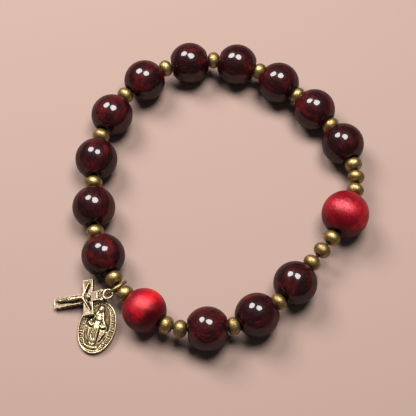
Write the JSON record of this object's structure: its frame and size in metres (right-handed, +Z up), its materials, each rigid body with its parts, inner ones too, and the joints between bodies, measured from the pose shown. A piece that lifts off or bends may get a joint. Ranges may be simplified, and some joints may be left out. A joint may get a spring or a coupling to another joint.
{
  "type": "rosary bracelet",
  "caption": "Elastic rosary bracelet of dark lacquered and red wood beads with bronze spacers, a small crucifix and an oval medal on a jump ring, lying flat.",
  "frame": {"origin": "middle of the wrist opening, on the plane that the bracelet lies on", "axes": "+Z up through the wrist opening, +X and +Y across it; the charms lie towards -X and -Y"},
  "size_m": [0.0722, 0.0783, 0.011],
  "materials": {
    "dark_wood": "gloss lacquer over dark stained wood",
    "red_wood": "satin red stain on fine grain",
    "bronze": "antique, dark in the hollows",
    "pale_bronze": "antique cast, dark in the recesses",
    "elastic": "dull covered elastic"
  },
  "bodies": {
    "root": {"wood_bead_01": "dark_wood", "wood_bead_02": "dark_wood", "wood_bead_03": "dark_wood", "wood_bead_04": "dark_wood", "wood_bead_05": "dark_wood", "wood_bead_06": "dark_wood", "wood_bead_07": "dark_wood", "wood_bead_08": "dark_wood", "wood_bead_09": "dark_wood", "wood_bead_10": "dark_wood", "wood_bead_11": "dark_wood", "wood_bead_12": "dark_wood", "wood_bead_13": "dark_wood", "red_bead_01": "red_wood", "red_bead_02": "red_wood", "spacer_bead_01": "bronze", "spacer_bead_02": "bronze", "spacer_bead_03": "bronze", "spacer_bead_04": "bronze", "spacer_bead_05": "bronze", "spacer_bead_06": "bronze", "spacer_bead_07": "bronze", "spacer_bead_08": "bronze", "spacer_bead_09": "bronze", "spacer_bead_10": "bronze", "spacer_bead_11": "bronze", "spacer_bead_12": "bronze", "spacer_bead_13": "bronze", "spacer_bead_14": "bronze", "spacer_bead_15": "bronze", "spacer_bead_16": "bronze", "spacer_bead_17": "bronze", "spacer_bead_18": "bronze", "spacer_bead_19": "bronze", "spacer_bead_20": "bronze", "spacer_bead_21": "bronze", "elastic_cord": "elastic", "jump_ring": "bronze", "crucifix": "pale_bronze", "medal": "pale_bronze"}
  },
  "joints": []
}
